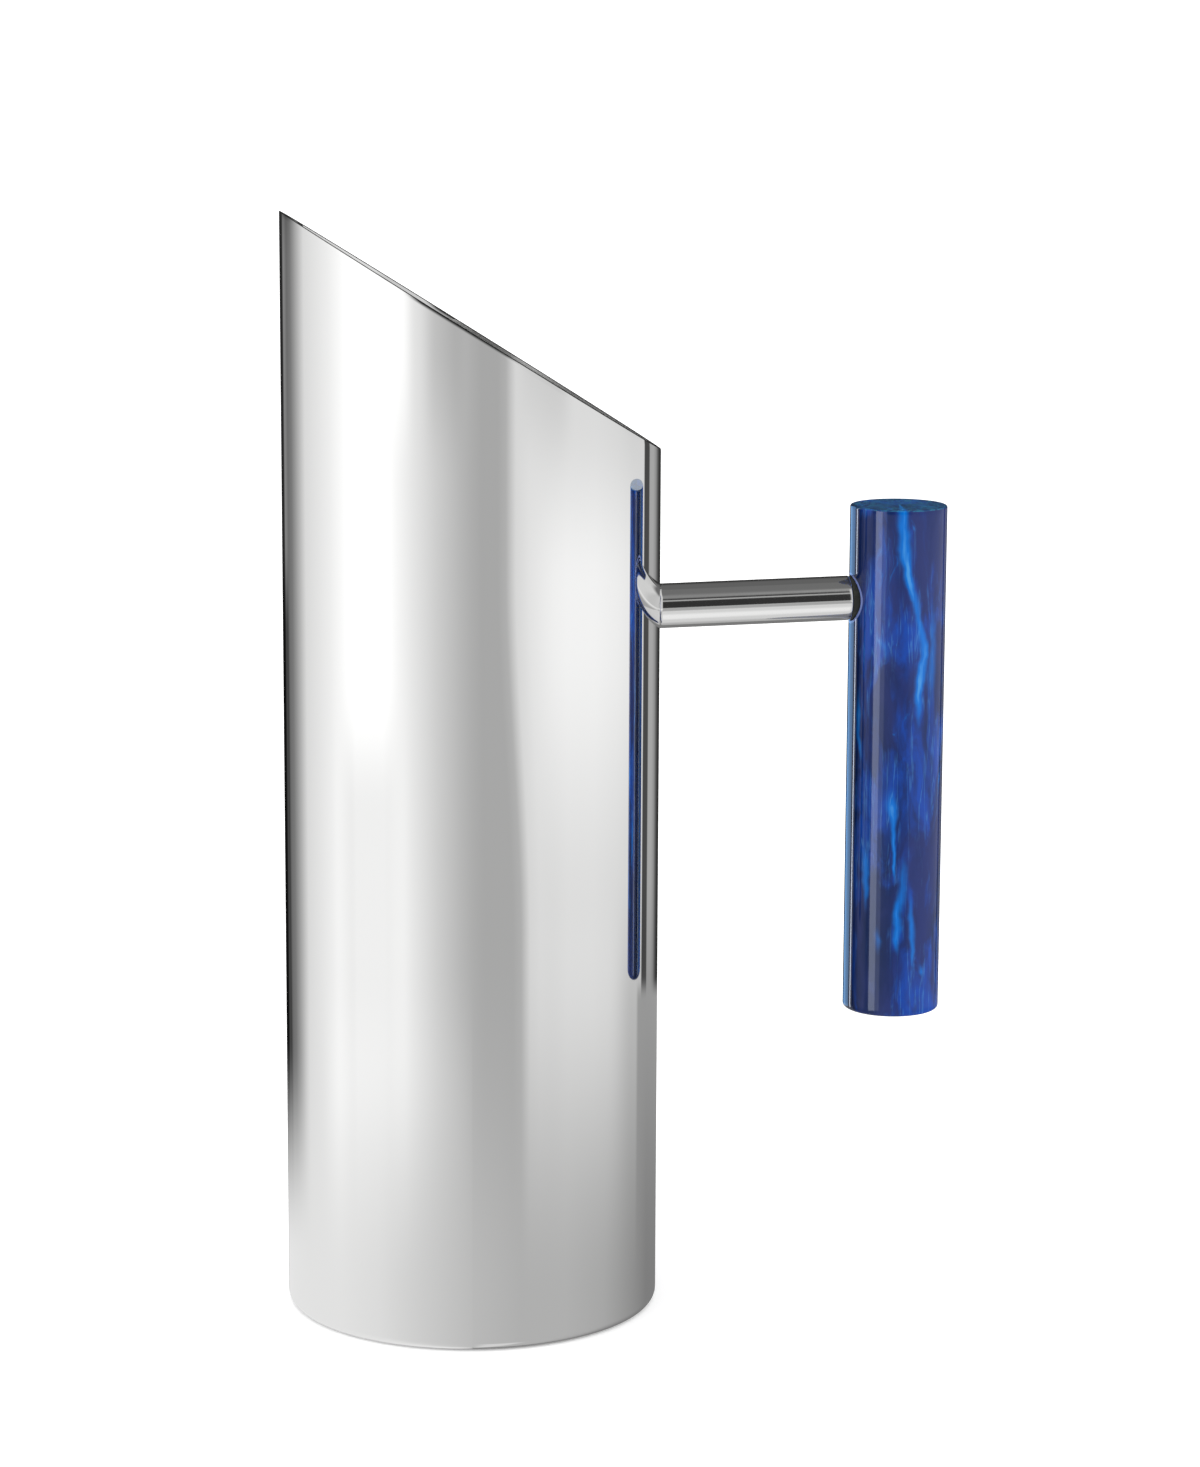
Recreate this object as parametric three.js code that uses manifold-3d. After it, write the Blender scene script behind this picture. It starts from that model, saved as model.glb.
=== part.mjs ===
// A tall water pitcher: a polished steel tube with a slanted pouring mouth, a flat base plate, and an upright
// cast-resin grip carried clear of the wall on one short steel arm.
// Millimetres, +Z up. The origin is on the vessel's axis, on the plane it stands on.
// The grip is towards +X and the pouring tip of the mouth is at -X.
import * as THREE from 'three';
import { mergeVertices } from 'three/addons/utils/BufferGeometryUtils.js';
import Module from 'manifold-3d';

const wasm = await Module();
wasm.setup();

// Vessel
const BODY_DIAMETER = 100;
const BODY_WALL = 1.0;
const SPOUT_HEIGHT = 294.6; // rim height at -X
const HANDLE_SIDE_HEIGHT = 231.8; // rim height at +X
const BASE_THICKNESS = 1.5;
const FOOT_ROUNDING = 2.5; // outside edge of the foot, across the wall and the base

// Grip
const GRIP_DIAMETER = 26.1;
const GRIP_LENGTH = 138.6;
const GRIP_BELOW_RIM = 16.6; // grip's top under the rim's low side
const GRIP_TOP_ROUNDING = 0.5;
const GRIP_BOTTOM_ROUNDING = 1.0;
const FINGER_GAP = 52.65; // clear distance between the vessel and the grip

// Arm
const ARM_DIAMETER = 12;
const ARM_WALL = 1.0;
const ARM_BELOW_GRIP_TOP = 25.0; // arm's axis at the grip's seat, under the grip's top
const ARM_RISE_DEGREES = 1.25; // the arm climbs this much towards the grip
const ARM_FILLET = 0.9; // blend between the arm and the vessel
const ARM_END_BEVEL = 0.3;
const ARM_SHORT_OF_GRIP = 0.3; // the arm's end stops this far before the grip's surface

// Fastening inside the arm and the grip
const STUD_DIAMETER = 6;
const STUD_CHAMFER = 0.6;
const PLUG_LENGTH = 14;
const STUD_IN_PLUG = 12;
const STUD_IN_INSERT = 10;
const INSERT_WALL = 1.2;
const INSERT_LENGTH = 12;
const INSERT_GROOVE = 0.5;
const SEAT_MARGIN = 0.4; // the flat seat in the grip is this much larger in radius than the arm
const SEAT_SINK = 0.3; // depth of the seat's shallowest edge

// Clearance between pieces that touch
const FIT_GAP = 0.3;

const BODY_SEGMENTS = 128;
const GRIP_SEGMENTS = 96;
const ARM_SEGMENTS = 64;
const STUD_SEGMENTS = 40;
const ROUNDING_STEPS = 4;

const bodyRadius = BODY_DIAMETER / 2;
const boreRadius = bodyRadius - BODY_WALL;
const gripRadius = GRIP_DIAMETER / 2;
const gripX = bodyRadius + FINGER_GAP + gripRadius;
const gripTop = HANDLE_SIDE_HEIGHT - GRIP_BELOW_RIM;
const armRadius = ARM_DIAMETER / 2;
const armZ = gripTop - ARM_BELOW_GRIP_TOP;
const armEndX = bodyRadius + FINGER_GAP - ARM_SHORT_OF_GRIP;
const seatRadius = armRadius + SEAT_MARGIN;
const seatX = gripX - Math.sqrt(gripRadius ** 2 - seatRadius ** 2) + SEAT_SINK;
const studRadius = STUD_DIAMETER / 2;
const studHoleRadius = studRadius + FIT_GAP;
const insertRadius = studHoleRadius + INSERT_WALL;

// A turned shape about Z from a profile of [radius, height] points, with only its positions kept.
function turned(profile, segments) {
  const points = profile.map(([radius, height]) => new THREE.Vector2(radius, height));
  const lathe = new THREE.LatheGeometry(points, segments).rotateX(Math.PI / 2);
  lathe.deleteAttribute('normal');
  lathe.deleteAttribute('uv');
  return mergeVertices(lathe, 1e-4);
}

// A turned shape laid along the arm's axis; its profile's heights become x positions before the arm's rise.
function turnedAlongArm(profile, segments) {
  return turned(profile, segments)
    .rotateY(Math.PI / 2)
    .translate(-seatX, 0, 0)
    .rotateY(-THREE.MathUtils.degToRad(ARM_RISE_DEGREES))
    .translate(seatX, 0, armZ);
}

// A plain hollow or solid cylinder's profile, from one height to another.
function ring(innerRadius, outerRadius, low, high) {
  return [[innerRadius, low], [outerRadius, low], [outerRadius, high], [innerRadius, high], [innerRadius, low]];
}

function rod(radius, low, high) {
  return [[0, low], [radius, low], [radius, high], [0, high]];
}

// Points of a quarter circle about a centre, from one angle to the next, in degrees.
function quarter(centreRadius, centreHeight, size, fromDegrees, toDegrees) {
  const points = [];
  for (let i = 0; i <= ROUNDING_STEPS; i++) {
    const angle = THREE.MathUtils.degToRad(fromDegrees + ((toDegrees - fromDegrees) * i) / ROUNDING_STEPS);
    points.push([centreRadius + size * Math.cos(angle), centreHeight + size * Math.sin(angle)]);
  }
  return points;
}

function toSolid(geometry) {
  const merged = mergeVertices(geometry, 1e-4);
  return new wasm.Manifold(
    new wasm.Mesh({
      numProp: 3,
      vertProperties: new Float32Array(merged.attributes.position.array),
      triVerts: new Uint32Array(merged.index.array),
    }),
  );
}

function toGeometry(solid) {
  const { vertProperties, triVerts } = solid.getMesh();
  const geometry = new THREE.BufferGeometry();
  geometry.setAttribute('position', new THREE.BufferAttribute(new Float32Array(vertProperties), 3));
  geometry.setIndex(new THREE.BufferAttribute(new Uint32Array(triVerts), 1));
  return geometry;
}

function piece(name, geometry, material) {
  const shown = geometry.toNonIndexed();
  shown.computeVertexNormals();
  const mesh = new THREE.Mesh(shown, material);
  mesh.name = name;
  return mesh;
}

const steel = (roughness) =>
  new THREE.MeshStandardMaterial({ color: 0xd8dadc, roughness, metalness: 1 });

// The rounded outside edge of the foot, from the radius where a piece's underside ends to where its side begins.
function footEdge(fromRadius, toRadius) {
  const centre = bodyRadius - FOOT_ROUNDING;
  const degrees = (radius) => -THREE.MathUtils.radToDeg(Math.acos(Math.max(0, (radius - centre) / FOOT_ROUNDING)));
  return quarter(centre, FOOT_ROUNDING, FOOT_ROUNDING, degrees(fromRadius), degrees(toRadius));
}

// The vessel's wall: a round tube, rounded at its foot and cut by the slanted plane of the mouth.
function bodyShell() {
  const top = SPOUT_HEIGHT + 10;
  const edge = footEdge(boreRadius, bodyRadius);
  const profile = [...edge, [bodyRadius, top], [boreRadius, top], edge[0]];
  const tube = toSolid(turned(profile, BODY_SEGMENTS));
  const slope = Math.atan((SPOUT_HEIGHT - HANDLE_SIDE_HEIGHT) / BODY_DIAMETER);
  const reach = 2 * (BODY_DIAMETER + SPOUT_HEIGHT);
  const above = new THREE.BoxGeometry(reach, reach, reach)
    .translate(0, 0, reach / 2)
    .rotateY(slope)
    .translate(0, 0, (SPOUT_HEIGHT + HANDLE_SIDE_HEIGHT) / 2);
  above.deleteAttribute('normal');
  above.deleteAttribute('uv');
  return piece('body_shell', toGeometry(tube.subtract(toSolid(above))), steel(0.04));
}

// The flat base, let into the foot of the tube; its lower edge carries on the rounding of the foot.
function basePlate() {
  const plateRadius = boreRadius - FIT_GAP;
  const edge = footEdge(bodyRadius - FOOT_ROUNDING, plateRadius);
  const profile = [[0, 0], ...edge, [plateRadius, BASE_THICKNESS], [0, BASE_THICKNESS]];
  return piece('base_plate', turned(profile, BODY_SEGMENTS), steel(0.3));
}

// The arm: a tube whose near end is shaped to the vessel's wall and blended into it.
function handleArm() {
  const bore = armRadius - ARM_WALL;
  const inside = boreRadius - 4;
  const blendStart = bodyRadius + FIT_GAP;
  const profile = [
    [bore, inside],
    [armRadius + ARM_FILLET, inside],
    ...quarter(armRadius + ARM_FILLET, blendStart + ARM_FILLET, ARM_FILLET, 270, 180),
    [armRadius, armEndX - ARM_END_BEVEL],
    [armRadius - ARM_END_BEVEL, armEndX],
    [bore, armEndX],
    [bore, inside],
  ];
  const tube = toSolid(turnedAlongArm(profile, ARM_SEGMENTS));
  const vessel = toSolid(turned(rod(bodyRadius + FIT_GAP, 0, SPOUT_HEIGHT), BODY_SEGMENTS));
  return piece('handle_arm', toGeometry(tube.subtract(vessel)), steel(0.06));
}

// The threaded plug that closes the arm's outer end.
function armPlug() {
  const profile = ring(studHoleRadius, armRadius - ARM_WALL - FIT_GAP, armEndX - PLUG_LENGTH, armEndX);
  return piece('arm_plug', turnedAlongArm(profile, ARM_SEGMENTS), steel(0.35));
}

// The headless screw that joins the plug to the grip's insert.
function handleStud() {
  const start = armEndX - STUD_IN_PLUG;
  const end = seatX + STUD_IN_INSERT;
  const profile = [
    [0, start],
    [studRadius - STUD_CHAMFER, start],
    [studRadius, start + STUD_CHAMFER],
    [studRadius, end - STUD_CHAMFER],
    [studRadius - STUD_CHAMFER, end],
    [0, end],
  ];
  return piece('handle_stud', turnedAlongArm(profile, STUD_SEGMENTS), steel(0.4));
}

// The dark washer between the arm's end and the flat seat in the grip.
function seatWasher() {
  const profile = ring(studHoleRadius, armRadius - 0.1, armEndX + FIT_GAP, seatX - FIT_GAP);
  const rubber = new THREE.MeshStandardMaterial({ color: 0x1c1d1a, roughness: 0.6, metalness: 0 });
  return piece('seat_washer', turnedAlongArm(profile, ARM_SEGMENTS), rubber);
}

// The brass insert cast into the grip, with a groove round its middle that keys it into the resin.
function gripInsert() {
  const end = seatX + INSERT_LENGTH;
  const third = INSERT_LENGTH / 3;
  const waist = insertRadius - INSERT_GROOVE;
  const profile = [
    [studHoleRadius, seatX],
    [insertRadius, seatX],
    [insertRadius, seatX + third - INSERT_GROOVE],
    [waist, seatX + third],
    [waist, end - third],
    [insertRadius, end - third + INSERT_GROOVE],
    [insertRadius, end],
    [studHoleRadius, end],
    [studHoleRadius, seatX],
  ];
  const brass = new THREE.MeshStandardMaterial({ color: 0xb8923f, roughness: 0.35, metalness: 1 });
  return piece('grip_insert', turnedAlongArm(profile, STUD_SEGMENTS), brass);
}

// The grip: a round resin bar with softened ends, a flat seat for the arm and a blind hole for the insert.
function grip() {
  const low = gripTop - GRIP_LENGTH;
  const topCentre = gripRadius - GRIP_TOP_ROUNDING;
  const bottomCentre = gripRadius - GRIP_BOTTOM_ROUNDING;
  const profile = [
    [0, low],
    ...quarter(bottomCentre, low + GRIP_BOTTOM_ROUNDING, GRIP_BOTTOM_ROUNDING, -90, 0),
    ...quarter(topCentre, gripTop - GRIP_TOP_ROUNDING, GRIP_TOP_ROUNDING, 0, 90),
    [0, gripTop],
  ];
  const bar = toSolid(turned(profile, GRIP_SEGMENTS).translate(gripX, 0, 0));
  const seat = toSolid(turnedAlongArm(rod(seatRadius, bodyRadius, seatX), ARM_SEGMENTS));
  const hole = toSolid(
    turnedAlongArm(rod(insertRadius + FIT_GAP, bodyRadius, seatX + INSERT_LENGTH + FIT_GAP), STUD_SEGMENTS),
  );
  const resin = new THREE.MeshStandardMaterial({ color: 0x24408f, roughness: 0.12, metalness: 0 });
  return piece('grip', toGeometry(bar.subtract(seat).subtract(hole)), resin);
}

const pitcher = new THREE.Group();
pitcher.name = 'water_pitcher';

const vessel = new THREE.Group();
vessel.add(bodyShell(), basePlate());

const handle = new THREE.Group();
handle.add(handleArm(), armPlug(), handleStud(), seatWasher(), gripInsert(), grip());

pitcher.add(vessel, handle);

export default pitcher;
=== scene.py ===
"""A polished steel water pitcher with a marbled resin grip, in a plain white studio. Metres, +Z up."""

import math

import bpy
from mathutils import Matrix, Vector


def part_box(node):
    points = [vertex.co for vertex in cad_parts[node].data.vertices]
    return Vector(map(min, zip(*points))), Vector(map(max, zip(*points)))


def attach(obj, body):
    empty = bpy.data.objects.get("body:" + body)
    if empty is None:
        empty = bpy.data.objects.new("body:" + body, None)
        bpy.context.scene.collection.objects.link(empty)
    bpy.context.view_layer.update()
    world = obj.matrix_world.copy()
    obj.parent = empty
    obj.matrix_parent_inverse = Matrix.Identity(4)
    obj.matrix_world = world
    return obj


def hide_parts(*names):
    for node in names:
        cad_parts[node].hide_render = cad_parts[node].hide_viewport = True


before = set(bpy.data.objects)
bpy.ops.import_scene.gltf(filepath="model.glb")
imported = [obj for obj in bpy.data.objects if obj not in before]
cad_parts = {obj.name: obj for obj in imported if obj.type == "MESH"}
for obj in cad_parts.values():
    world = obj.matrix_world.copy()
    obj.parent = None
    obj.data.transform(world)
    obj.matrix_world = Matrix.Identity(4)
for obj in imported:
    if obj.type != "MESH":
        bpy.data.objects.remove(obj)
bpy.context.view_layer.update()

MM = 0.001

# Sizes that the frame gives
body_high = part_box("body_shell")[1]
plate_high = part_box("base_plate")[1]
washer_low, washer_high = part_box("seat_washer")
insert_low, insert_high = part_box("grip_insert")
grip_low, grip_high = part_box("grip")

BODY_RADIUS = body_high.x
TIP_HEIGHT = body_high.z
# The mouth's low side is at the body's +X side.
LOW_RIM_HEIGHT = max(
    v.co.z
    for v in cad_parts["body_shell"].data.vertices
    if v.co.x > 0.998 * BODY_RADIUS
)
PLATE_THICKNESS = plate_high.z
GRIP_RADIUS = (grip_high.y - grip_low.y) / 2
GRIP_X = (grip_low.x + grip_high.x) / 2
WASHER_RADIUS = washer_high.y
INSERT_RADIUS = insert_high.y

# Sizes that finish the pieces
BODY_WALL = 1.0 * MM
INNER_RADIUS = BODY_RADIUS - BODY_WALL
RIM_ROUNDING = 0.34 * MM
RIM_POLISH = 4.0 * MM
EDGE_BAND = 1.2 * MM
CUT_SPARE = 10 * MM
FOOT_ROUNDING = 2.5 * MM
FOOT_ROW = 4 * MM
SEAM_WIDTH = 0.12 * MM
COVE_RADIUS = 1.8 * MM
ARM_RISE = math.radians(1.25)
ARM_RADIUS = 6.0 * MM
ARM_BORE = 5.0 * MM
ARM_BLEND = 0.9 * MM
ARM_END_ROUNDING = 0.35 * MM
SEAT_RADIUS = 6.1 * MM
SEAT_LIP = 0.15 * MM
# The rounded lip of the seat: how far each row stands outside the seat and behind the grip's face, in lips
SEAT_LIP_ROWS = [(0.9, 0.02), (0.45, 0.2), (0.12, 0.55), (0.0, 1.0)]
CUTTER_SPARE = 4 * MM
GRIP_TOP_ROUNDING = 0.5 * MM
GRIP_BOTTOM_ROUNDING = 1.0 * MM
FIT_GAP = 0.3 * MM
WELD_OVERLAP = 0.08 * MM
WASHER_BORE = 3.5 * MM
WASHER_ROUNDING = 0.25 * MM
WASHER_PLAY = 0.05 * MM

ARM_DIRECTION = Vector((math.cos(ARM_RISE), 0, math.sin(ARM_RISE)))


def length_along_arm(low, high):
    """The length of a round piece whose axis is the arm's, from its box."""
    return (high.x - low.x - 2 * high.y * math.sin(ARM_RISE)) / math.cos(ARM_RISE)


INSERT_LENGTH = length_along_arm(insert_low, insert_high)
WASHER_LENGTH = length_along_arm(washer_low, washer_high)
# The middle of the flat seat in the grip, where the arm's axis ends. Along the arm, x is counted as if the
# arm were level.
SEAT = (insert_low + insert_high) / 2 - ARM_DIRECTION * INSERT_LENGTH / 2
ARM_END_X = SEAT.x - 2 * FIT_GAP - WASHER_LENGTH
ARM_ROOT_X = SEAT.x - (SEAT.x - BODY_RADIUS) / math.cos(ARM_RISE)

BODY_STEPS = 512
ARM_STEPS = 160
GRIP_STEPS = 256
GRIP_ROWS = 130
HOLE_STEPS = 64
SOFT_ANGLE = math.radians(38)
BODY_SOFT_ANGLE = math.radians(50)
RIM_ANGLE = math.radians(45)
MERGE_DISTANCE = 1e-6


# ---------------------------------------------------------------- modelling


def deselect_all():
    if bpy.context.object and bpy.context.object.mode != "OBJECT":
        bpy.ops.object.mode_set(mode="OBJECT")
    bpy.ops.object.select_all(action="DESELECT")


def activate(piece):
    deselect_all()
    piece.select_set(True)
    bpy.context.view_layer.objects.active = piece


def edit(piece):
    activate(piece)
    bpy.ops.object.mode_set(mode="EDIT")


def finish_edit():
    bpy.ops.object.mode_set(mode="OBJECT")


def apply_place(piece):
    activate(piece)
    bpy.ops.object.transform_apply(location=True, rotation=True, scale=True)


def apply_modifier(piece, kind, **settings):
    activate(piece)
    modifier = piece.modifiers.new(kind.title(), kind)
    for key, value in settings.items():
        setattr(modifier, key, value)
    bpy.ops.object.modifier_apply(modifier=modifier.name)


def smooth(piece, angle=SOFT_ANGLE):
    """Smooth shading that keeps the edges sharper than angle, with the large faces ruling the normals."""
    activate(piece)
    bpy.ops.object.shade_smooth_by_angle(angle=angle)
    apply_modifier(piece, "WEIGHTED_NORMAL", keep_sharp=True, weight=100)


def arc(centre_u, centre_v, radius, start, end, steps):
    """Points of an arc in a profile, from one angle to the next, in degrees."""
    angles = [math.radians(start + (end - start) * i / steps) for i in range(steps + 1)]
    return [(centre_u + radius * math.cos(a), centre_v + radius * math.sin(a)) for a in angles]


def turned(name, profile, steps, centre=(0, 0), along_x=False):
    """A piece spun from a profile of (radius, height) points: a vertex is drawn out point by point, then
    spun. Along X, a point's height is its x. A ring's profile ends where it began."""

    def place(point):
        radius, height = point
        if along_x:
            return Vector((height, centre[0], centre[1] + radius))
        return Vector((centre[0] + radius, centre[1], height))

    deselect_all()
    bpy.ops.mesh.primitive_plane_add(size=MM, location=place(profile[0]))
    piece = bpy.context.object
    piece.name = name
    apply_place(piece)
    edit(piece)
    bpy.ops.mesh.select_mode(type="VERT")
    bpy.ops.mesh.select_all(action="SELECT")
    bpy.ops.mesh.merge(type="CENTER")
    for before, after in zip(profile, profile[1:]):
        step = place(after) - place(before)
        bpy.ops.mesh.extrude_vertices_move(TRANSFORM_OT_translate={"value": step})
    bpy.ops.mesh.select_all(action="SELECT")
    bpy.ops.mesh.spin(
        steps=steps,
        angle=math.tau,
        center=(0, *centre) if along_x else (*centre, 0),
        axis=(1, 0, 0) if along_x else (0, 0, 1),
    )
    bpy.ops.mesh.select_all(action="SELECT")
    bpy.ops.mesh.remove_doubles(threshold=MERGE_DISTANCE)
    bpy.ops.mesh.normals_make_consistent(inside=False)
    finish_edit()
    return piece


def along_arm(name, profile, steps, wall=None):
    """A piece turned about the arm's axis. wall is a round upright wall that one end of it follows: its
    centre's x, its radius, 1 for its +X face or -1 for its -X face, that face's x, and how far from the wall
    the piece's rows still follow it."""
    piece = turned(name, profile, steps, centre=(SEAT.y, SEAT.z), along_x=True)
    follow = {}
    if wall:
        centre_x, radius, side, face_x, reach = wall
        heights = {v.index: side * (v.co.x - face_x) for v in piece.data.vertices}
        follow = {index: height for index, height in heights.items() if abs(height) <= reach}
    piece.matrix_world = (
        Matrix.Translation(SEAT) @ Matrix.Rotation(-ARM_RISE, 4, "Y") @ Matrix.Translation(-SEAT)
    )
    apply_place(piece)
    for index, height in follow.items():
        spot = piece.data.vertices[index].co
        wall_x = centre_x + side * math.sqrt((radius + height) ** 2 - spot.y**2)
        piece.data.vertices[index].co += ARM_DIRECTION * ((wall_x - spot.x) / ARM_DIRECTION.x)
    return piece


def cut(piece, cutter):
    apply_modifier(piece, "BOOLEAN", object=cutter, operation="DIFFERENCE", solver="EXACT")
    bpy.data.objects.remove(cutter)


def foot_edge(from_radius, to_radius, steps=10):
    """The rounded outside edge of the foot, between two radii."""
    centre = BODY_RADIUS - FOOT_ROUNDING

    def degrees(radius):
        return -math.degrees(math.acos(min(1.0, max(0.0, (radius - centre) / FOOT_ROUNDING))))

    start, end = degrees(from_radius), degrees(to_radius)
    return arc(centre, FOOT_ROUNDING, FOOT_ROUNDING, start, end, steps)


def make_body():
    """The tube with its rounded foot is spun, cut by the mouth's plane and closed there. The numbers of the
    faces on its cut edge and on its satin inside come with it."""
    top = TIP_HEIGHT + CUT_SPARE
    edge = foot_edge(INNER_RADIUS, BODY_RADIUS)
    profile = [
        *edge,
        (BODY_RADIUS, FOOT_ROUNDING + FOOT_ROW),
        (BODY_RADIUS, top),
        (INNER_RADIUS, top),
        edge[0],
    ]
    body = turned("polished_body", profile, BODY_STEPS)

    slope = math.atan((TIP_HEIGHT - LOW_RIM_HEIGHT) / (2 * BODY_RADIUS))
    normal = Vector((math.sin(slope), 0, math.cos(slope)))
    middle = Vector((0, 0, (TIP_HEIGHT + LOW_RIM_HEIGHT) / 2))
    edit(body)
    bpy.ops.mesh.select_all(action="SELECT")
    bpy.ops.mesh.bisect(plane_co=middle, plane_no=normal, clear_outer=True)
    bpy.ops.mesh.select_mode(type="EDGE")
    bpy.ops.mesh.select_all(action="DESELECT")
    bpy.ops.mesh.select_non_manifold()
    bpy.ops.mesh.bridge_edge_loops()
    for depth in (EDGE_BAND, RIM_POLISH):
        bpy.ops.mesh.select_all(action="SELECT")
        bpy.ops.mesh.bisect(plane_co=middle - normal * depth, plane_no=normal)
    bpy.ops.mesh.select_all(action="SELECT")
    bpy.ops.mesh.normals_make_consistent(inside=False)
    finish_edit()
    apply_modifier(
        body,
        "BEVEL",
        width=RIM_ROUNDING,
        segments=3,
        limit_method="ANGLE",
        angle_limit=RIM_ANGLE,
    )
    smooth(body, BODY_SOFT_ANGLE)
    cut_edge = [
        face.index
        for face in body.data.polygons
        if all(
            (body.data.vertices[i].co - middle).dot(normal) > -1.05 * RIM_ROUNDING for i in face.vertices
        )
    ]
    inside = [
        face.index
        for face in body.data.polygons
        if (face.center - middle).dot(normal) < -RIM_POLISH
        and all(body.data.vertices[i].co.xy.length < INNER_RADIUS + SEAM_WIDTH for i in face.vertices)
    ]
    return body, cut_edge, inside


def make_base_plate():
    """The base, whose edge carries on the foot's rounding past a fine seam, with a cove against the wall."""
    edge = foot_edge(BODY_RADIUS - FOOT_ROUNDING, INNER_RADIUS - SEAM_WIDTH, 5)
    profile = [
        (0, 0),
        *edge,
        (INNER_RADIUS - SEAM_WIDTH, edge[-1][1] + 2 * SEAM_WIDTH),
        (INNER_RADIUS, edge[-1][1] + 3 * SEAM_WIDTH),
        *arc(INNER_RADIUS - COVE_RADIUS, PLATE_THICKNESS + COVE_RADIUS, COVE_RADIUS, 0, -90, 8),
        (0, PLATE_THICKNESS),
    ]
    plate = turned("base_disc", profile, BODY_STEPS // 2)
    smooth(plate)
    return plate


def make_arm():
    """The tube arm: its root flares in a small blend and follows the body's wall; its end is square."""
    root = ARM_ROOT_X - WELD_OVERLAP
    profile = [
        (ARM_BORE, root),
        (ARM_RADIUS + ARM_BLEND, root),
        *arc(ARM_RADIUS + ARM_BLEND, ARM_ROOT_X + ARM_BLEND, ARM_BLEND, 268, 180, 8),
        (ARM_RADIUS, ARM_ROOT_X + 3 * ARM_BLEND),
        (ARM_RADIUS, ARM_END_X - 3 * ARM_END_ROUNDING),
        *arc(ARM_RADIUS - ARM_END_ROUNDING, ARM_END_X - ARM_END_ROUNDING, ARM_END_ROUNDING, 0, 90, 4),
        (ARM_BORE, ARM_END_X),
        (ARM_BORE, root),
    ]
    wall = (0.0, BODY_RADIUS, 1, ARM_ROOT_X, 1.5 * ARM_BLEND)
    arm = along_arm("tube_arm", profile, ARM_STEPS, wall)
    smooth(arm)
    return arm


def make_washer():
    low, high = ARM_END_X + WASHER_PLAY, SEAT.x - WASHER_PLAY
    middle = WASHER_RADIUS - WASHER_ROUNDING
    profile = [
        (WASHER_BORE, low),
        *arc(middle, low + WASHER_ROUNDING, WASHER_ROUNDING, -90, 0, 4),
        *arc(middle, high - WASHER_ROUNDING, WASHER_ROUNDING, 0, 90, 4),
        (WASHER_BORE, high),
        (WASHER_BORE, low),
    ]
    washer = along_arm("rubber_washer", profile, ARM_STEPS)
    smooth(washer)
    return washer


def make_grip():
    """The resin bar, turned in fine rows, with the arm's seat and the insert's blind hole cut into it."""
    low, high = grip_low.z, grip_high.z
    side_low, side_high = low + GRIP_BOTTOM_ROUNDING, high - GRIP_TOP_ROUNDING
    side = [
        (GRIP_RADIUS, side_low + (side_high - side_low) * i / GRIP_ROWS) for i in range(1, GRIP_ROWS)
    ]
    profile = [
        (0, low),
        (GRIP_RADIUS / 2, low),
        *arc(GRIP_RADIUS - GRIP_BOTTOM_ROUNDING, side_low, GRIP_BOTTOM_ROUNDING, -90, 0, 6),
        *side,
        *arc(GRIP_RADIUS - GRIP_TOP_ROUNDING, side_high, GRIP_TOP_ROUNDING, 0, 90, 5),
        (GRIP_RADIUS / 2, high),
        (0, high),
    ]
    grip = turned("resin_grip", profile, GRIP_STEPS, centre=(GRIP_X, 0))

    face = GRIP_X - GRIP_RADIUS
    lip_top = SEAT_RADIUS + 2.2 * SEAT_LIP
    seat_profile = [
        (0, face - CUTTER_SPARE),
        (lip_top, face - CUTTER_SPARE),
        (lip_top, face - 0.6 * SEAT_LIP),
        *((SEAT_RADIUS + out * SEAT_LIP, face + deep * SEAT_LIP) for out, deep in SEAT_LIP_ROWS),
        (SEAT_RADIUS, SEAT.x),
        (0, SEAT.x),
    ]
    wall = (GRIP_X, GRIP_RADIUS, -1, face, 1.2 * SEAT_LIP)
    cut(grip, along_arm("seat_cutter", seat_profile, ARM_STEPS, wall))

    hole_end = SEAT.x + INSERT_LENGTH + FIT_GAP
    hole_profile = [
        (0, face),
        (INSERT_RADIUS + FIT_GAP, face),
        (INSERT_RADIUS + FIT_GAP, hole_end),
        (0, hole_end),
    ]
    cut(grip, along_arm("hole_cutter", hole_profile, HOLE_STEPS))
    smooth(grip)
    return grip


# ---------------------------------------------------------------- shading


class Value:
    """A number that changes over a surface. Arithmetic on it adds Math nodes."""

    def __init__(self, nodes, socket):
        self.nodes, self.socket = nodes, socket

    def _math(self, operation, first, second=None):
        sockets = {0: first} if second is None else {0: first, 1: second}
        return self.nodes.add("ShaderNodeMath", {"operation": operation}, sockets).value()

    def __add__(self, other):
        return self._math("ADD", self, other)

    def __sub__(self, other):
        return self._math("SUBTRACT", self, other)

    def __mul__(self, other):
        return self._math("MULTIPLY", self, other)

    def __truediv__(self, other):
        return self._math("DIVIDE", self, other)

    def __pow__(self, other):
        return self._math("POWER", self, other)

    def __radd__(self, other):
        return self._math("ADD", other, self)

    def __rsub__(self, other):
        return self._math("SUBTRACT", other, self)

    def __rmul__(self, other):
        return self._math("MULTIPLY", other, self)

    def at_most(self, other):
        return self._math("MINIMUM", self, other)

    def at_least(self, other):
        return self._math("MAXIMUM", self, other)

    def size(self):
        return self._math("ABSOLUTE", self)


class Node:
    """A shader node, whose outputs are read by name or number."""

    def __init__(self, nodes, node):
        self.nodes, self.node = nodes, node

    def __getitem__(self, output):
        return self.node.outputs[output]

    def value(self, output=0):
        return Value(self.nodes, self.node.outputs[output])


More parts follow.
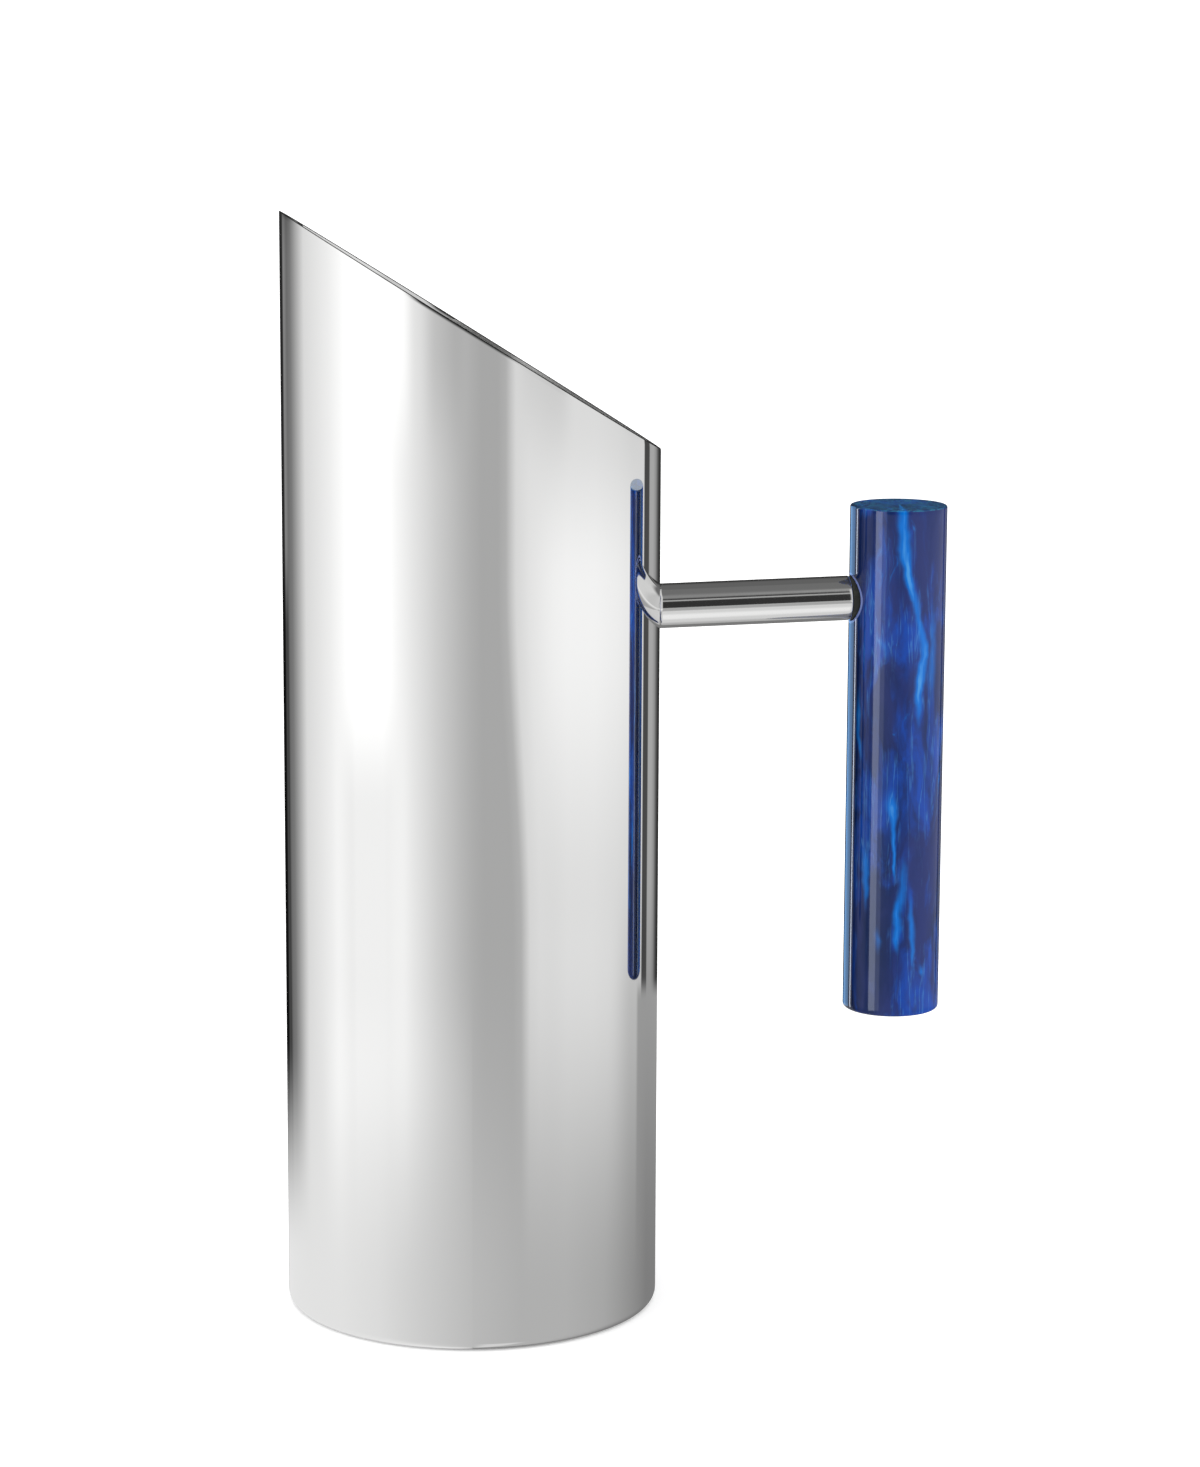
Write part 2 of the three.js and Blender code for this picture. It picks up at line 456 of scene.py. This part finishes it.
class Nodes:
    """The node tree of one material or world."""

    def __init__(self, tree):
        self.tree = tree
        tree.nodes.clear()

    def add(self, kind, settings=None, sockets=None):
        """A node of a kind: its settings are set first, then its sockets get values or links."""
        node = self.tree.nodes.new(kind)
        for key, setting in (settings or {}).items():
            if key == "stops":
                ramp = node.color_ramp
                while len(ramp.elements) < len(setting):
                    ramp.elements.new(1.0)
                for element, (position, colour) in zip(ramp.elements, setting):
                    element.position = position
                    element.color = colour if hasattr(colour, "__len__") else (colour,) * 3 + (1.0,)
            else:
                setattr(node, key, setting)
        for key, source in (sockets or {}).items():
            target = node.inputs[key]
            if isinstance(source, Value):
                source = source.socket
            if isinstance(source, bpy.types.NodeSocket):
                self.tree.links.new(source, target)
            else:
                target.default_value = source
        return Node(self, node)

    def ease(self, value, start, end):
        """0 before start and 1 after end, smooth between. end may be lower than start."""
        low, high = min(start, end), max(start, end)
        sockets = {"Value": value, "From Min": low, "From Max": high}
        sockets["To Min"], sockets["To Max"] = (0.0, 1.0) if end > start else (1.0, 0.0)
        settings = {"interpolation_type": "SMOOTHSTEP", "clamp": True}
        return self.add("ShaderNodeMapRange", settings, sockets).value()

    def band(self, value, low, high, soft):
        """1 between low and high, falling to 0 over soft on each side."""
        return self.ease(value, low - soft, low + soft) * self.ease(value, high + soft, high - soft)

    def mix(self, factor, first, second):
        """A colour between two, by factor."""
        settings = {"data_type": "RGBA", "blend_type": "MIX", "clamp_factor": True}
        return self.add("ShaderNodeMix", settings, {0: factor, 6: first, 7: second})[2]

    def noise(self, vector, scale, detail=3.0, roughness=0.5, distortion=0.0):
        sockets = {
            "Vector": vector,
            "Scale": scale,
            "Detail": detail,
            "Roughness": roughness,
            "Distortion": distortion,
        }
        return self.add("ShaderNodeTexNoise", {"noise_dimensions": "3D"}, sockets)

    def placed(self, location=(0, 0, 0), scale=(1, 1, 1)):
        """The piece's own coordinates in metres, stretched and moved."""
        coordinates = self.add("ShaderNodeTexCoord")["Object"]
        sockets = {"Vector": coordinates, "Location": location, "Scale": scale}
        return self.add("ShaderNodeMapping", {"vector_type": "POINT"}, sockets)["Vector"]

    def split(self, vector):
        """The X, Y and Z of a vector."""
        return self.add("ShaderNodeSeparateXYZ", None, {"Vector": vector})

    def turn_about(self, right, back):
        """Degrees round an upright axis, 0 towards the front and positive to the right."""
        angle = self.add("ShaderNodeMath", {"operation": "ARCTAN2"}, {0: right, 1: -1.0 * back})
        return angle.value() * (180 / math.pi)

    def bump(self, height, strength, distance):
        sockets = {"Height": height, "Strength": strength, "Distance": distance}
        return self.add("ShaderNodeBump", None, sockets)["Normal"]

    def surface(self, sockets):
        shader = self.add("ShaderNodeBsdfPrincipled", None, sockets)
        self.add("ShaderNodeOutputMaterial", None, {"Surface": shader["BSDF"]})


def new_material(name):
    material = bpy.data.materials.new(name)
    material.use_nodes = True
    return material, Nodes(material.node_tree)


def give(piece, material):
    piece.data.materials.clear()
    piece.data.materials.append(material)


def polished_steel():
    """Mirror-polished steel: a hair of waviness in the wall, and a faint haze left by the polishing wheel."""
    material, nodes = new_material("mirror_polished_steel")
    wave = nodes.noise(nodes.placed(scale=(1, 1, 0.35)), 14.0, 1.0).value("Fac")
    haze = nodes.noise(nodes.placed(scale=(1, 1, 0.2)), 55.0, 4.0, 0.6).value("Fac")
    grain = nodes.noise(nodes.placed(scale=(1, 1, 30)), 90.0, 3.0, 0.7).value("Fac")
    roughness = 0.018 + 0.022 * nodes.ease(haze, 0.35, 0.75) + 0.012 * nodes.ease(grain, 0.5, 0.8)
    nodes.surface(
        {
            "Base Color": (0.93, 0.93, 0.925, 1),
            "Metallic": 1.0,
            "Roughness": roughness,
            "Normal": nodes.bump(wave, 1.0, 0.00012),
        }
    )
    return material


def arm_steel():
    """The arm's polish, a little coarser, with fine lines round the tube."""
    material, nodes = new_material("polished_arm_steel")
    lines = nodes.noise(nodes.placed(scale=(60, 1, 1)), 60.0, 3.0, 0.65).value("Fac")
    nodes.surface(
        {
            "Base Color": (0.86, 0.86, 0.855, 1),
            "Metallic": 1.0,
            "Roughness": 0.05 + 0.05 * nodes.ease(lines, 0.35, 0.8),
            "Normal": nodes.bump(lines, 0.15, 0.00002),
        }
    )
    return material


def satin_steel():
    """The base plate's satin, with the round marks of its polishing."""
    material, nodes = new_material("satin_base_steel")
    parts = nodes.split(nodes.placed())
    radius = (parts.value("X") ** 2.0 + parts.value("Y") ** 2.0) ** 0.5
    along = nodes.add("ShaderNodeCombineXYZ", None, {"X": radius * 1400.0})["Vector"]
    marks = nodes.noise(along, 1.0, 4.0, 0.7).value("Fac")
    cloud = nodes.noise(nodes.placed(), 70.0, 3.0).value("Fac")
    nodes.surface(
        {
            "Base Color": (0.80, 0.80, 0.795, 1),
            "Metallic": 1.0,
            "Roughness": 0.22 + 0.1 * marks + 0.08 * cloud,
            "Normal": nodes.bump(marks, 0.35, 0.00003),
        }
    )
    return material


def ground_edge_steel():
    """The mouth's cut edge: ground, and coloured near black."""
    material, nodes = new_material("ground_edge_steel")
    marks = nodes.noise(nodes.placed(), 900.0, 3.0, 0.65).value("Fac")
    nodes.surface(
        {
            "Base Color": nodes.mix(marks, (0.02, 0.02, 0.021, 1), (0.05, 0.05, 0.05, 1)),
            "Metallic": 1.0,
            "Roughness": 0.28 + 0.2 * marks,
            "Normal": nodes.bump(marks, 0.4, 0.00003),
        }
    )
    return material


def inner_steel():
    """The inside of the body, left as drawn: satin, with fine upright lines."""
    material, nodes = new_material("inner_satin_steel")
    lines = nodes.noise(nodes.placed(scale=(1, 1, 0.02)), 900.0, 3.0, 0.6).value("Fac")
    cloud = nodes.noise(nodes.placed(scale=(1, 1, 0.4)), 40.0, 3.0).value("Fac")
    nodes.surface(
        {
            "Base Color": nodes.mix(cloud, (0.80, 0.80, 0.795, 1), (0.86, 0.86, 0.855, 1)),
            "Metallic": 0.85,
            "Roughness": 0.24 + 0.12 * lines,
            "Normal": nodes.bump(lines, 0.3, 0.00003),
        }
    )
    return material


def machined_steel():
    """The plug and the screw, cut on a lathe."""
    material, nodes = new_material("machined_steel")
    cuts = nodes.noise(nodes.placed(scale=(80, 1, 1)), 40.0, 2.0).value("Fac")
    nodes.surface(
        {
            "Base Color": (0.62, 0.62, 0.63, 1),
            "Metallic": 1.0,
            "Roughness": 0.28 + 0.15 * cuts,
            "Normal": nodes.bump(cuts, 0.4, 0.00004),
        }
    )
    return material


def turned_brass():
    material, nodes = new_material("turned_brass")
    cuts = nodes.noise(nodes.placed(scale=(80, 1, 1)), 40.0, 2.0).value("Fac")
    tint = nodes.mix(cuts, (0.62, 0.42, 0.14, 1), (0.80, 0.60, 0.26, 1))
    nodes.surface(
        {
            "Base Color": tint,
            "Metallic": 1.0,
            "Roughness": 0.26 + 0.14 * cuts,
            "Normal": nodes.bump(cuts, 0.4, 0.00004),
        }
    )
    return material


def black_rubber():
    material, nodes = new_material("black_rubber")
    grain = nodes.noise(nodes.placed(), 2600.0, 3.0, 0.6).value("Fac")
    bloom = nodes.noise(nodes.placed(), 240.0, 2.0).value("Fac")
    tint = nodes.mix(nodes.ease(bloom, 0.4, 0.7), (0.010, 0.011, 0.009, 1), (0.026, 0.028, 0.022, 1))
    nodes.surface(
        {
            "Base Color": tint,
            "Roughness": 0.42 + 0.25 * grain,
            "Normal": nodes.bump(grain, 0.4, 0.00003),
        }
    )
    return material


# The colour of the painted shade on the grip's side towards the body
PAINTED_SHADE_NAVY = (0.001, 0.006, 0.030, 1)
NAVY = (0.002, 0.014, 0.075, 1)
INDIGO = (0.014, 0.026, 0.130, 1)
ROYAL = (0.005, 0.058, 0.370, 1)
AZURE = (0.000, 0.145, 0.560, 1)
PALE_BLUE = (0.090, 0.340, 0.660, 1)
TURQUOISE = (0.030, 0.190, 0.300, 1)
# The colour of the painted highlight on the mouth of the grip's seat
PAINTED_HIGHLIGHT_LAVENDER = (0.20, 0.26, 0.58, 1)

# Strands poured into the front of the grip. Each row is a point of the strand: height up the grip from 0 to
# 1, degrees round it from the front towards the handle's free side, half width in degrees, and strength.
STRANDS = [
    [
        (0.560, 14, 3, 0.0),
        (0.600, 15, 4, 0.35),
        (0.640, 17, 6, 0.75),
        (0.668, 19, 7, 0.95),
        (0.721, 22, 7, 1.0),
        (0.759, 18, 6, 0.85),
        (0.798, 11, 5, 0.65),
        (0.844, 4, 5, 0.80),
        (0.881, -1, 5, 0.90),
        (0.925, -6, 8, 0.95),
        (0.964, -8, 8, 0.80),
        (0.998, -7, 7, 0.75),
    ],
    [
        (0.270, -11, 2, 0.0),
        (0.300, -10, 2, 0.8),
        (0.371, -13, 4, 0.6),
        (0.417, -15, 7, 0.85),
        (0.470, -18, 4, 0.0),
    ],
    [(0.200, -45, 2, 0.0), (0.240, -46, 4, 0.6), (0.310, -47, 5, 0.7), (0.370, -48, 4, 0.0)],
    [(0.130, -8, 3, 0.0), (0.165, -7, 5, 0.7), (0.227, -5, 6, 0.75), (0.300, 1, 5, 0.45), (0.330, 3, 4, 0.0)],
    [(0.090, 16, 2, 0.0), (0.128, 13, 3, 0.6), (0.190, 10, 4, 0.6), (0.273, 5, 3, 0.0)],
    [(0.480, -58, 3, 0.0), (0.530, -58, 4, 0.65), (0.600, -61, 5, 0.8), (0.670, -63, 4, 0.0)],
    [(0.690, -22, 4, 0.0), (0.730, -26, 6, 0.35), (0.747, -31, 5, 0.4), (0.770, -36, 4, 0.0)],
    [(0.600, 34, 5, 0.0), (0.680, 33, 8, 0.45), (0.760, 35, 6, 0.5), (0.840, 31, 4, 0.0)],
    [(0.075, 27, 2, 0.0), (0.091, 26, 4, 0.6), (0.115, 22, 3, 0.0)],
    [(0.120, -31, 3, 0.0), (0.152, -30, 5, 0.5), (0.185, -28, 3, 0.0)],
]
# The turn and the half width that a full colour channel stands for in a strand's ramp
STRAND_TURN = 180.0
STRAND_WIDTH = 20.0
# How much slower the clouds and the fibres change along the grip than across it
CLOUD_DRAW = 0.30
FIBRE_DRAW = 0.06
TOP_FACE_DEPTH = 0.4 * MM
# The width of the painted highlight on the seat's mouth
MOUTH_HIGHLIGHT_WIDTH = 0.8 * MM


def marbled_resin():
    """Cast resin: navy and indigo clouds drawn out lengthwise, royal blue veils, azure strands with pale
    cores, and turquoise curls in the top face."""
    material, nodes = new_material("marbled_blue_resin")
    length = grip_high.z - grip_low.z
    centred = nodes.placed(location=(-GRIP_X, 0, -grip_low.z))
    drawn = nodes.placed(location=(-GRIP_X, 0, -CLOUD_DRAW * grip_low.z), scale=(1, 1, CLOUD_DRAW))
    fine = nodes.placed(location=(-GRIP_X, 0, -FIBRE_DRAW * grip_low.z), scale=(1, 1, FIBRE_DRAW))
    warp = nodes.noise(drawn, 70.0, 3.0, 0.6)["Color"]
    pulled = nodes.add(
        "ShaderNodeVectorMath",
        {"operation": "MULTIPLY_ADD"},
        {0: warp, 1: (0.014, 0.014, 0.010), 2: drawn},
    )["Vector"]
    clouds = nodes.noise(pulled, 62.0, 4.0, 0.55).value("Fac")
    veils = nodes.noise(pulled, 95.0, 5.0, 0.6, 0.5).value("Fac")
    wisps = nodes.noise(pulled, 120.0, 6.0, 0.62, 1.0).value("Fac")
    fibres = nodes.noise(fine, 420.0, 3.0, 0.6, 0.4).value("Fac")

    parts = nodes.split(centred)
    stir = nodes.split(nodes.noise(centred, 75.0, 3.0, 0.5)["Color"])
    turn = nodes.turn_about(parts.value("X"), parts.value("Y")) + (stir.value("X") - 0.5) * 22.0
    height = parts.value("Z") * (1 / length) + (stir.value("Y") - 0.5) * 0.05
    strands = None
    for points in STRANDS:
        stops = [(h, (t / STRAND_TURN + 0.5, w / STRAND_WIDTH, v, 1)) for h, t, w, v in points]
        ramp = nodes.add("ShaderNodeValToRGB", {"stops": stops}, {"Fac": height})
        along = nodes.add("ShaderNodeSeparateColor", None, {"Color": ramp["Color"]})
        middle = (along.value("Red") - 0.5) * STRAND_TURN
        away = (turn - middle).size() / (along.value("Green") * STRAND_WIDTH)
        strand = nodes.ease(away, 1.9, 0.0) ** 1.5 * along.value("Blue")
        strands = strand if strands is None else strands.at_least(strand)

    colour = nodes.mix(nodes.ease(clouds, 0.36, 0.60), NAVY, INDIGO)
    colour = nodes.mix(nodes.ease(veils, 0.44, 0.64) * (0.6 + 0.5 * fibres), colour, ROYAL)
    loose = nodes.ease(wisps, 0.60, 0.76) * 0.75
    azure = (strands * (0.35 + 1.2 * fibres)).at_least(loose).at_most(1.0)
    colour = nodes.mix(nodes.ease(azure, 0.0, 0.85), colour, AZURE)
    colour = nodes.mix(nodes.ease(azure, 0.66, 1.0) * 0.6, colour, PALE_BLUE)
    threads = nodes.ease((fibres - 0.5).size(), 0.03, 0.0) * nodes.ease(veils, 0.42, 0.62)
    colour = nodes.mix(threads * 0.24, colour, PALE_BLUE)
    curls = nodes.noise(centred, 260.0, 2.0, 0.5, 1.5).value("Fac")
    curls = 0.15 + 0.60 * nodes.ease((curls - 0.5).size(), 0.05, 0.01)
    top_face = nodes.ease(parts.value("Z"), length - TOP_FACE_DEPTH, length - TOP_FACE_DEPTH / 4)
    colour = nodes.mix(curls * top_face, colour, TURQUOISE)
    # Painted shade: the side towards the body is darkened, where the body shades it.
    painted_shade_body_side = nodes.ease(parts.value("X"), -0.80 * GRIP_RADIUS, -0.97 * GRIP_RADIUS)
    colour = nodes.mix(painted_shade_body_side * 0.8, colour, PAINTED_SHADE_NAVY)
    # Painted highlight: a pale lavender band on the mouth of the seat, standing in for the light its rounded
    # lip catches.
    up = parts.value("Z") - (SEAT.z - grip_low.z)
    from_arm = (parts.value("Y") ** 2.0 + up**2.0) ** 0.5
    mouth = nodes.band(from_arm, SEAT_RADIUS, SEAT_RADIUS + MOUTH_HIGHLIGHT_WIDTH, 0.12 * MM)
    mouth = mouth * nodes.ease(parts.value("X"), -0.3 * GRIP_RADIUS, -0.6 * GRIP_RADIUS)
    colour = nodes.mix(mouth * 0.8, colour, PAINTED_HIGHLIGHT_LAVENDER)
    haze = nodes.noise(nodes.placed(), 90.0).value("Fac")
    nodes.surface({"Base Color": colour, "Roughness": 0.025 + 0.04 * haze, "IOR": 1.40})
    return material


# ---------------------------------------------------------------- studio


CAMERA_TURN = math.radians(7.384)
CAMERA_DISTANCE = 1.11044
CAMERA_HEIGHT = 0.36601
CAMERA_LENS = 103.864
CAMERA_YAW = math.radians(1.767)
CAMERA_PITCH = math.radians(10.727)
CAMERA_ROLL = math.radians(0.259)
FLOOR_WIDTH = 120.0
FLOOR_GLOW = 0.22
SKY_STRENGTH = 3.1
SKY_SPREAD = math.radians(130)


def make_camera():
    data = bpy.data.cameras.new("studio_camera")
    camera = bpy.data.objects.new("studio_camera", data)
    bpy.context.scene.collection.objects.link(camera)
    data.sensor_width = 36.0
    data.lens = CAMERA_LENS
    data.clip_start, data.clip_end = 0.05, 50.0
    heading = CAMERA_TURN + CAMERA_YAW
    forward = Vector(
        (
            math.sin(heading) * math.cos(CAMERA_PITCH),
            math.cos(heading) * math.cos(CAMERA_PITCH),
            -math.sin(CAMERA_PITCH),
        )
    )
    right = forward.cross(Vector((0, 0, 1))).normalized()
    up = right.cross(forward)
    cos, sin = math.cos(CAMERA_ROLL), math.sin(CAMERA_ROLL)
    turned_right, turned_up = cos * right + sin * up, cos * up - sin * right
    axes = Matrix((turned_right, turned_up, -forward)).transposed()
    place = Vector(
        (
            -CAMERA_DISTANCE * math.sin(CAMERA_TURN),
            -CAMERA_DISTANCE * math.cos(CAMERA_TURN),
            CAMERA_HEIGHT,
        )
    )
    camera.matrix_world = Matrix.Translation(place) @ axes.to_4x4()
    bpy.context.scene.camera = camera


def turn_stops(stops):
    """Ramp stops from (degrees round the object, brightness), for a ramp that covers half a turn."""
    low = min(s[0] for s in stops)
    return [((degrees - low) / 180.0, brightness) for degrees, brightness in stops]


# The studio round the object, by direction. 0 degrees is towards the camera, and positive turns to its right.
LEFT_SIDE = [
    (-180, 0.02),
    (-159, 0.02),
    (-155.5, 0.25),
    (-152, 0.22),
    (-147, 0.155),
    (-140, 0.20),
    (-134, 0.32),
    (-128, 0.48),
    (-120, 0.74),
    (-105, 0.84),
    (-95, 0.92),
    (-86, 1.03),
    (-75, 1.20),
    (-55, 1.20),
    (-45, 1.00),
    (-36, 0.86),
    (-21, 0.66),
    (-7, 0.51),
    (0, 0.45),
]
RIGHT_SIDE = [
    (0, 0.45),
    (6, 0.415),
    (17, 0.415),
    (22, 0.46),
    (25.5, 0.62),
    (28, 0.73),
    (36, 0.80),
    (60, 0.86),
    (80, 0.86),
    (99, 0.82),
    (129, 0.72),
    (130, 0.065),
    (137, 0.070),
    (138.5, 0.40),
    (145, 0.40),
    (151, 0.29),
    (156, 0.12),
    (161, 0.04),
    (180, 0.02),
]
# The table's brightness, by direction
FLOOR_LEFT = [(-180, 0.40), (-165, 0.82), (-90, 0.81), (-60, 0.76), (-30, 0.64), (0, 0.53)]
FLOOR_RIGHT = [(0, 0.52), (30, 0.46), (60, 0.46), (90, 0.41), (115, 0.31), (140, 0.22), (180, 0.21)]


NEAR_TABLE = 0.68
FLAG_END = 0.34
ROOM_DARK = 0.035
LAMP_RISE = (29.0, 35.0)
LAMP_GLOW = 0.45
CEILING_GLOW = 0.22
BOX_TOP = 0.17
REAR_DARK = 0.035
REAR_GLOW = 0.10


def studio_world():
    """Two tall soft boxes, black flags behind them, a dark room behind the camera and a pale table below."""
    world = bpy.data.worlds.new("studio")
    bpy.context.scene.world = world
    world.use_nodes = True
    nodes = Nodes(world.node_tree)
    heading = nodes.add(
        "ShaderNodeVectorRotate",
        {"rotation_type": "Z_AXIS"},
        {"Vector": nodes.add("ShaderNodeTexCoord")["Generated"], "Angle": CAMERA_TURN},
    )["Vector"]
    parts = nodes.split(heading)
    turn = nodes.turn_about(parts.value("X"), parts.value("Y"))
    rise = nodes.add("ShaderNodeMath", {"operation": "ARCSINE"}, {0: parts.value("Z")})
    rise = rise.value() * (180 / math.pi)

    def half(stops, value, low):
        place = (value - low) / 180.0
        ramp = nodes.add("ShaderNodeValToRGB", {"stops": turn_stops(stops)}, {"Fac": place})
        return nodes.add("ShaderNodeSeparateColor", None, {"Color": ramp["Color"]}).value("Red")

    right_hand = nodes.ease(turn, -0.01, 0.01)
    # The right box leans, so its near edge moves round as it comes down.
    lean = nodes.ease(rise, -8.5, -13.5) * 9.5 - 1.5
    lean = lean * nodes.ease(turn, 70.0, 30.0) * nodes.ease(turn, 2.0, 20.0)
    left = half(LEFT_SIDE, turn, -180.0)
    right = half(RIGHT_SIDE, turn - lean, 0.0)
    # Both boxes are uneven from top to bottom.
    box_fade = 1.12 - 0.22 * nodes.ease(rise, -9.3, -13.2) - 0.24 * nodes.ease(rise, -8.8, -6.3)
    right = right * (1.0 + (box_fade - 1.0) * nodes.band(turn, 40.0, 126.0, 14.0))
    right = right * (1.0 - 0.22 * nodes.ease(rise, -12.5, -14.5) * nodes.ease(turn, 92.0, 118.0))
    high = nodes.ease(rise, -7.4, -5.4)
    right = right * (1.0 - 0.16 * high * nodes.band(turn, 30.0, 60.0, 6.0))
    left_fade = 1.0 - 0.22 * nodes.ease(rise, -9.8, -11.8) * nodes.band(turn, -84.0, -48.0, 8.0)
    left_fade = left_fade * (1.0 + 0.13 * nodes.ease(rise, -13.8, -16.0) * nodes.band(turn, -100.0, 0.0, 8.0))
    left_fade = left_fade * (1.0 + 0.16 * high * nodes.band(turn, -48.0, -37.0, 4.0))
    left_fade = left_fade * (1.0 - 0.15 * high * nodes.band(turn, -26.0, -6.0, 5.0))
    left = left * left_fade * (1.0 - 0.75 * nodes.ease(rise, -8.0, -9.4) * nodes.ease(turn, -146.0, -151.0))
    sides = left + (right - left) * right_hand

    floor_left = half(FLOOR_LEFT, turn, -180.0)
    floor_right = half(FLOOR_RIGHT, turn, 0.0)
    table = floor_left + (floor_right - floor_left) * right_hand
    table = table + (NEAR_TABLE - table) * nodes.ease(rise, -30.0, -45.0) * nodes.band(turn, 6.0, 34.0, 7.0)
    # The boxes run softly into the table, and more sharply at the back left.
    to_table = nodes.ease(rise, -13.4, -18.4)
    sharp = nodes.ease(rise, -14.8, -17.8)
    back_left = nodes.ease(turn, -118.0, -132.0)
    to_table = to_table + (sharp - to_table) * back_left
    # The right flag ends where the table begins.
    flag_end = nodes.ease(rise, -14.0, -14.3) * nodes.ease(turn, 122.0, 126.0)
    sides = sides + (FLAG_END - sides) * flag_end
    lower = sides + (table - sides) * to_table

    # Higher up there is a dark room between the boxes in front, with lamps near its top, and a dark wall at
    # the back.
    front = nodes.band(turn, -34.0, 27.0, 6.0)
    room = ROOM_DARK + LAMP_GLOW * nodes.band(rise, *LAMP_RISE, 3.0)
    room = room + CEILING_GLOW * nodes.ease(rise, 38.0, 48.0)
    room = room - 0.08 * nodes.ease(rise, 55.0, 80.0)
    back = nodes.ease(turn.size(), 128.0, 150.0)
    rear = REAR_DARK + REAR_GLOW * nodes.ease(rise, 22.0, 50.0)
    boxes = lower + (BOX_TOP - lower) * nodes.ease(rise, 45.0, 60.0)
    above = boxes + (room - boxes) * front
    above = above + (rear - above) * back
    light = lower + (above - lower) * nodes.ease(rise, -4.5, -2.5)
    background = nodes.add("ShaderNodeBackground", None, {"Color": (1, 1, 1, 1), "Strength": light})
    nodes.add("ShaderNodeOutputWorld", None, {"Surface": background["Background"]})


def make_floor():
    """A wide white table top that glows a little. The pieces mirror the world's own table instead of it."""
    deselect_all()
    bpy.ops.mesh.primitive_plane_add(size=FLOOR_WIDTH, location=(0, 0, 0))
    floor = bpy.context.object
    floor.name = "studio_floor"
    apply_place(floor)
    material, nodes = new_material("white_table_top")
    nodes.surface(
        {
            "Base Color": (0.90, 0.90, 0.90, 1),
            "Roughness": 0.9,
            "Specular IOR Level": 0.0,
            "Emission Color": (1, 1, 1, 1),
            "Emission Strength": FLOOR_GLOW,
        }
    )
    give(floor, material)
    floor.visible_glossy = False


def sky_light(strength, spread):
    """Even light from straight above, so wide that it leaves hardly any shadow."""
    data = bpy.data.lights.new("sky_light", "SUN")
    data.energy, data.angle = strength, spread
    light = bpy.data.objects.new("sky_light", data)
    bpy.context.scene.collection.objects.link(light)
    light.visible_camera = light.visible_glossy = False


def soft_light(name, place, aim, size, power, colour, only_for):
    """A soft box that only one piece mirrors."""
    data = bpy.data.lights.new(name, "AREA")
    data.shape, data.size, data.size_y = "RECTANGLE", size[0], size[1]
    data.energy, data.color = power, colour
    light = bpy.data.objects.new(name, data)
    bpy.context.scene.collection.objects.link(light)
    direction = Vector(aim) - Vector(place)
    light.matrix_world = Matrix.Translation(place) @ direction.to_track_quat("-Z", "Y").to_matrix().to_4x4()
    light.visible_camera = light.visible_diffuse = False
    receivers = bpy.data.collections.new(name + "_receivers")
    receivers.objects.link(only_for)
    light.light_linking.receiver_collection = receivers


STRIP_DISTANCE = 0.25
STRIP_HEIGHT = 0.34
STRIP_MIDDLE = 0.17
PANEL_PLACE = (0.12, -0.18, 0.04)
PANEL_SIZE = (0.4, 0.46)
PANEL_POWER = 0.15
# Strips that only the grip mirrors: name, degrees round it from the front to the left, width, power, colour.
GRIP_STRIPS = [
    ("grip_strip", 64, 0.12, 0.42, (0.78, 0.85, 1.0)),
    ("grip_strip_edge", 58, 0.165, 0.20, (0.78, 0.85, 1.0)),
    ("grip_rim_strip", 151, 0.15, 0.38, (0.26, 0.55, 1.0)),
    ("grip_line_strip", 126, 0.015, 0.165, (0.78, 0.85, 1.0)),
]


def make_studio():
    """The camera, the world, the table top, the even light, and the lights for the grip and the arm."""
    make_camera()
    studio_world()
    make_floor()
    sky_light(SKY_STRENGTH, SKY_SPREAD)
    grip = bpy.data.objects["resin_grip"]
    middle = Vector((GRIP_X, 0, STRIP_MIDDLE))
    for name, degrees, width, power, colour in GRIP_STRIPS:
        turn = math.radians(degrees)
        place = middle + STRIP_DISTANCE * Vector((-math.sin(turn), -math.cos(turn), 0))
        soft_light(name, place, middle, (width, STRIP_HEIGHT), power, colour, grip)
    arm = bpy.data.objects["tube_arm"]
    above = (PANEL_PLACE[0], PANEL_PLACE[1], 1.0)
    soft_light("arm_panel", PANEL_PLACE, above, PANEL_SIZE, PANEL_POWER, (1, 1, 1), arm)
    view = bpy.context.scene.view_settings
    view.view_transform = "Standard"
    view.look = "None"


# ---------------------------------------------------------------- assembly


def assemble():
    satin, machined = satin_steel(), machined_steel()
    body, cut_edge, inside = make_body()
    made = [
        (body, "body_shell", "polished_steel", polished_steel()),
        (make_base_plate(), "base_plate", "base_steel", satin),
        (make_arm(), "handle_arm", "arm_steel", arm_steel()),
        (make_washer(), "seat_washer", "washer_rubber", black_rubber()),
        (make_grip(), "grip", "marbled_resin", marbled_resin()),
    ]
    for piece, node, slot, material in made:
        give(piece, material)
        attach(piece, "root")
        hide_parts(node)
    for index, material, faces in ((1, ground_edge_steel(), cut_edge), (2, inner_steel(), inside)):
        body.data.materials.append(material)
        for face in faces:
            body.data.polygons[face].material_index = index
    give(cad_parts["arm_plug"], machined)
    give(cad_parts["handle_stud"], machined)
    give(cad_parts["grip_insert"], turned_brass())


assemble()
make_studio()
deselect_all()
